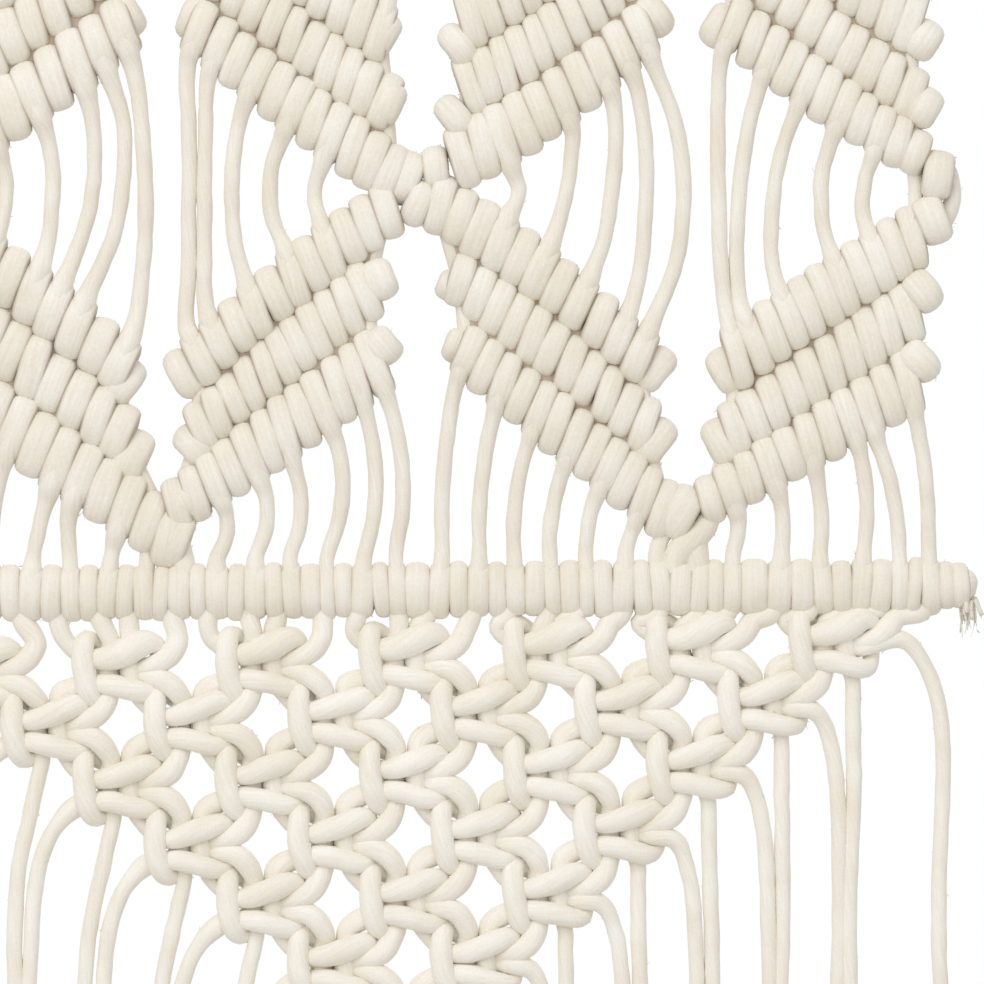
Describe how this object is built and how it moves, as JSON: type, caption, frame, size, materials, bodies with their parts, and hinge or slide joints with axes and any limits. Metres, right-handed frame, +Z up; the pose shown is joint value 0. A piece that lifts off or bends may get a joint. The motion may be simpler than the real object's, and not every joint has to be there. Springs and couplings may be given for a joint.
{
  "type": "macrame wall hanging",
  "caption": "Cotton macrame wall hanging: crossed diamond bands of hitches over a net of square knots and a long fringe.",
  "frame": {"origin": "middle of the top edge, at the mid-plane of the cords", "axes": "+Z up along the hanging's length, +X to the right as seen from the front, the front faces -Y"},
  "size_m": [0.2792, 0.013, 0.5],
  "materials": {
    "cotton_bar": "matte",
    "cotton_cord": "matte"
  },
  "bodies": {
    "root": {"header_bar": "cotton_bar", "diamond_net": "cotton_cord", "middle_bar": "cotton_bar", "square_knot_net": "cotton_cord"}
  },
  "joints": []
}
